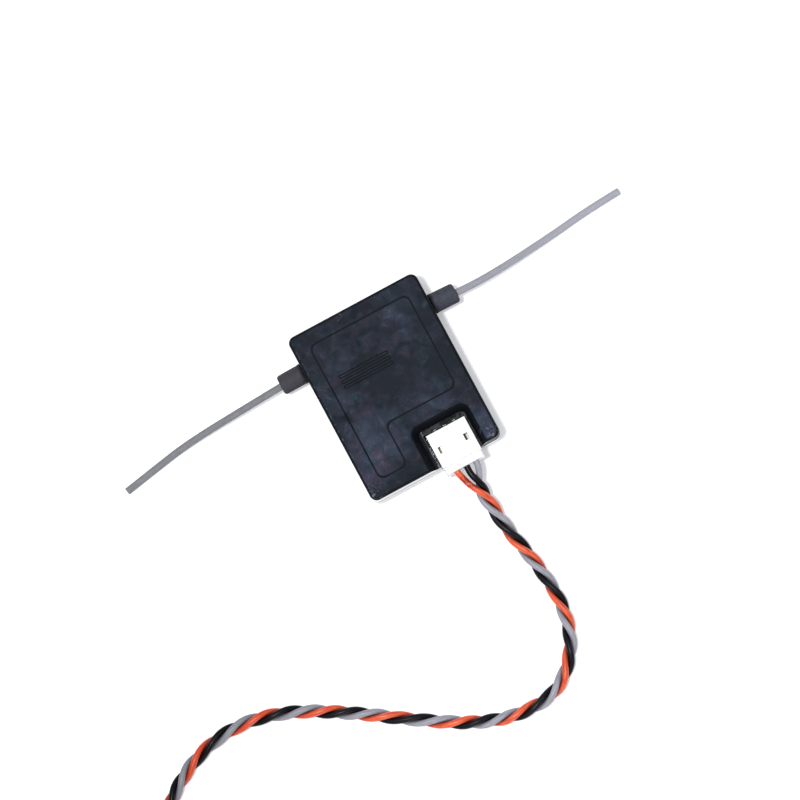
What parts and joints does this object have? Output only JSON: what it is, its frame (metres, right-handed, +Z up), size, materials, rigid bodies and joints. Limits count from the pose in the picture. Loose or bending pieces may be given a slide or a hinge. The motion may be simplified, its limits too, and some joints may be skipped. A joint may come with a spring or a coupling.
{
  "type": "remote radio-control receiver",
  "caption": "Small black two-part receiver case with a notch that holds a white plug, side antennas in grey sleeves and a twisted wire lead that ends in a like plug.",
  "frame": {"origin": "centre of the case's underside", "axes": "+X across the case along the antennas, +Y from the plug towards the antenna end, +Z up through the deck"},
  "size_m": [0.104, 0.0756, 0.0069],
  "materials": {
    "case_black": "satin moulded plastic, dusty from handling",
    "sleeve_rubber": "soft dark grey rubber",
    "antenna_grey": "matt grey jacket",
    "connector_white": "white moulded nylon",
    "tin": "bright tin plate",
    "contact_brass": "plated spring brass",
    "wire_orange": "smooth soft jacket",
    "wire_black": "smooth soft jacket",
    "wire_grey": "smooth soft jacket",
    "board_green": "solder mask over glass board",
    "ceramic_tan": "fired ceramic with plated ends",
    "lamp_amber": "clear amber resin",
    "chip_black": "moulded epoxy"
  },
  "bodies": {
    "root": {"antenna_sleeve_left": "sleeve_rubber", "antenna_sleeve_right": "sleeve_rubber", "antenna_solder_left": "tin", "antenna_solder_right": "tin", "antenna_switch": "chip_black", "antenna_wire_left": "antenna_grey", "antenna_wire_right": "antenna_grey", "bottom_cover": "case_black", "capacitor_1": "ceramic_tan", "capacitor_2": "ceramic_tan", "capacitor_3": "ceramic_tan", "capacitor_4": "ceramic_tan", "capacitor_5": "ceramic_tan", "capacitor_6": "ceramic_tan", "circuit_board": "board_green", "crystal_can": "tin", "far_contact_black": "contact_brass", "far_contact_grey": "contact_brass", "far_contact_orange": "contact_brass", "far_plug_housing": "connector_white", "far_wire_black": "wire_black", "far_wire_grey": "wire_grey", "far_wire_orange": "wire_orange", "header_pin_1": "tin", "header_pin_2": "tin", "header_pin_3": "tin", "header_shroud": "connector_white", "header_tab_left": "tin", "header_tab_right": "tin", "lead_bundle": "wire_black", "near_contact_black": "contact_brass", "near_contact_grey": "contact_brass", "near_contact_orange": "contact_brass", "near_wire_black": "wire_black", "near_wire_grey": "wire_grey", "near_wire_orange": "wire_orange", "output_filter": "ceramic_tan", "plug_housing": "connector_white", "processor_chip": "chip_black", "radio_chip": "chip_black", "resistor_1": "chip_black", "resistor_2": "chip_black", "resistor_3": "chip_black", "resistor_4": "chip_black", "resistor_5": "chip_black", "resistor_6": "chip_black", "shield_can": "tin", "status_led": "lamp_amber", "top_cover": "case_black", "voltage_regulator": "chip_black"}
  },
  "joints": []
}
